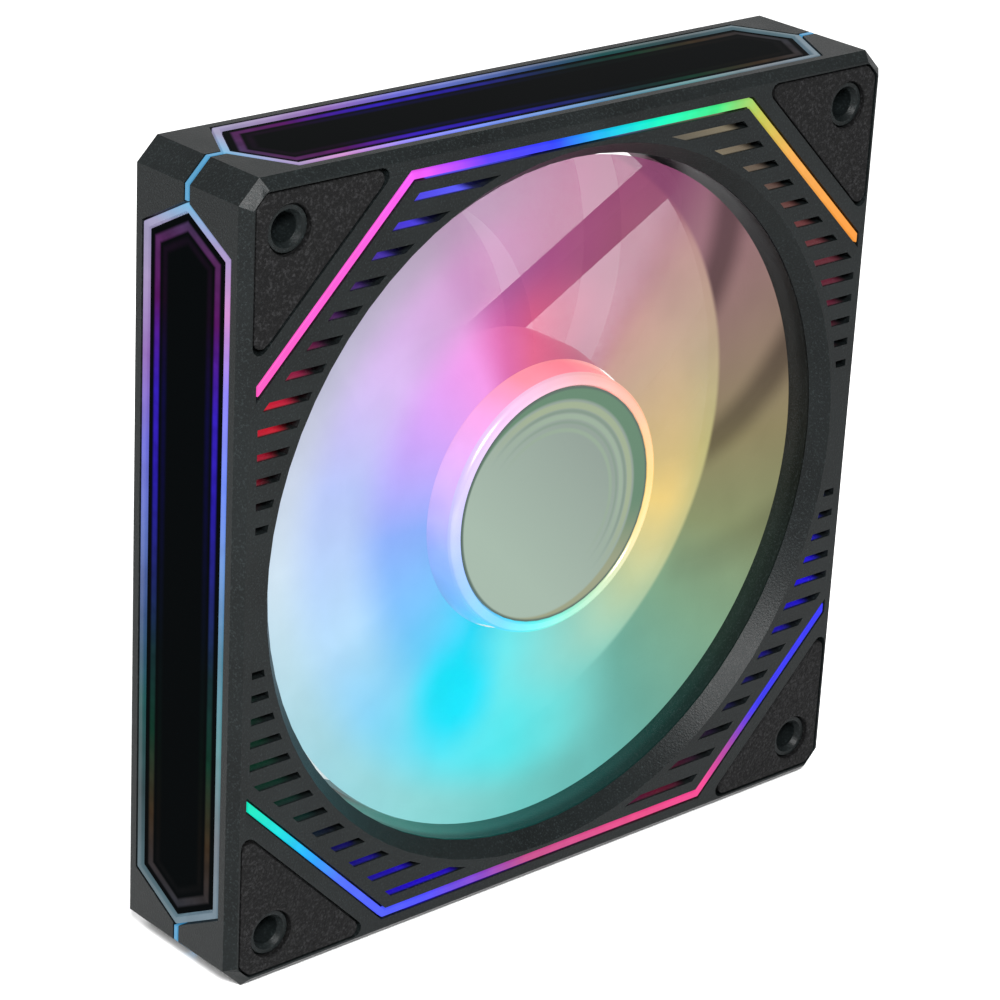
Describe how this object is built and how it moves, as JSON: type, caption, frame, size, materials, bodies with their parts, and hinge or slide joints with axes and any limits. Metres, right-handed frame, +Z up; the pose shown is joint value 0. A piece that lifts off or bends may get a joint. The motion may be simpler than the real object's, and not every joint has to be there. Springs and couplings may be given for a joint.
{
  "type": "computer case fan",
  "caption": "Square computer case fan with a translucent swept-blade rotor, bent light bars, slotted intake face and long hexagonal mirror windows in its sides.",
  "frame": {"origin": "middle of the bottom edge that the fan stands on, halfway through its depth", "axes": "+Z up, -Y out of the intake face, +X to the right seen from the intake face; the rotor turns about a line along Y at Z = 0.060 m"},
  "size_m": [0.12, 0.025, 0.12],
  "materials": {
    "black_plastic": "satin",
    "rubber": "matt, leather grain",
    "frosted_plastic": "milky, translucent",
    "light_guide": "milky, lit from inside",
    "smoked_glass": "half-silvered, smoked",
    "mirror": "polished",
    "hub_glass": "half-silvered",
    "circuit_board": "solder mask",
    "steel": "bright",
    "brass": "turned",
    "magnet": "dull",
    "lamination": "stamped stack",
    "copper": "enamelled winding"
  },
  "bodies": {
    "housing": {"back_mirror_bottom": "mirror", "back_mirror_left": "mirror", "back_mirror_right": "mirror", "back_mirror_top": "mirror", "bearing_tube": "brass", "cable_outlet": "rubber", "coil_1": "copper", "coil_2": "copper", "coil_3": "copper", "coil_4": "copper", "corner_diffuser_bottom_left": "light_guide", "corner_diffuser_bottom_right": "light_guide", "corner_diffuser_top_left": "light_guide", "corner_diffuser_top_right": "light_guide", "front_pad_bottom_left": "rubber", "front_pad_bottom_right": "rubber", "front_pad_top_left": "rubber", "front_pad_top_right": "rubber", "front_shell": "black_plastic", "housing_screw_bottom_left": "steel", "housing_screw_bottom_right": "steel", "housing_screw_top_left": "steel", "housing_screw_top_right": "steel", "lamp_strip_bottom": "circuit_board", "lamp_strip_left": "circuit_board", "lamp_strip_right": "circuit_board", "lamp_strip_top": "circuit_board", "light_bar_lower": "light_guide", "light_bar_upper": "light_guide", "light_guide_bottom": "light_guide", "light_guide_left": "light_guide", "light_guide_right": "light_guide", "light_guide_top": "light_guide", "motor_board": "circuit_board", "rear_cover": "black_plastic", "rear_frame": "black_plastic", "rear_pad_bottom_left": "rubber", "rear_pad_bottom_right": "rubber", "rear_pad_top_left": "rubber", "rear_pad_top_right": "rubber", "sleeve_bearing": "brass", "slot_diffuser": "frosted_plastic", "stator_core": "lamination", "thrust_cap": "black_plastic", "window_pane_bottom": "smoked_glass", "window_pane_left": "smoked_glass", "window_pane_right": "smoked_glass", "window_pane_top": "smoked_glass"},
    "rotor": {"impeller": "frosted_plastic", "hub_pane": "hub_glass", "hub_mirror": "mirror", "rotor_yoke": "steel", "magnet_ring": "magnet", "shaft": "steel", "shaft_clip": "steel"}
  },
  "joints": [
    {"name": "rotor_spin", "type": "hinge", "parent": "housing", "child": "rotor", "pos_m": [0, 0, 0.06], "axis": [0, -1, 0], "continuous": true}
  ]
}
